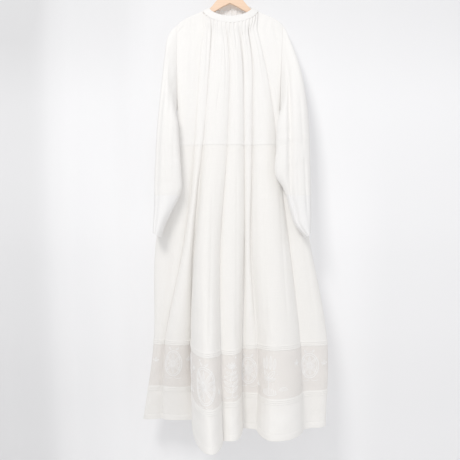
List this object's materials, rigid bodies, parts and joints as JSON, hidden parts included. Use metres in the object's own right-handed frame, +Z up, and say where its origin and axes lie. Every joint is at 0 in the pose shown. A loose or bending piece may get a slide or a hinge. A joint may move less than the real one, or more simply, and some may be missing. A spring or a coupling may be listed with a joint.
{
  "type": "smock on a hanger",
  "caption": "Long white smock, gathered on a narrow neckband, with long sleeves and a net band with tucks above the hem, hung on a wooden hanger.",
  "frame": {"origin": "the point inside the top of the hanger's hook that bears on a rail", "axes": "+Z up along the garment's length, -Y out of its front, +X to the viewer's right"},
  "size_m": [0.6551, 0.452, 1.6177],
  "materials": {
    "linen": "matt plain weave",
    "net": "sheer net with white embroidery",
    "wood": "satin varnish",
    "hook": "bright wire",
    "button": "shell, polished"
  },
  "bodies": {
    "root": {"hanger_wood": "wood", "hanger_hook": "hook", "neckband": "linen", "button": "button", "bodice_front": "linen", "bodice_back_left": "linen", "bodice_back_right": "linen", "skirt_front": "linen", "skirt_back": "linen", "lace_front": "net", "lace_back": "net", "hem_front": "linen", "hem_back": "linen", "sleeve_left": "linen", "sleeve_right": "linen", "cuff_left": "net", "cuff_right": "net"}
  },
  "joints": []
}
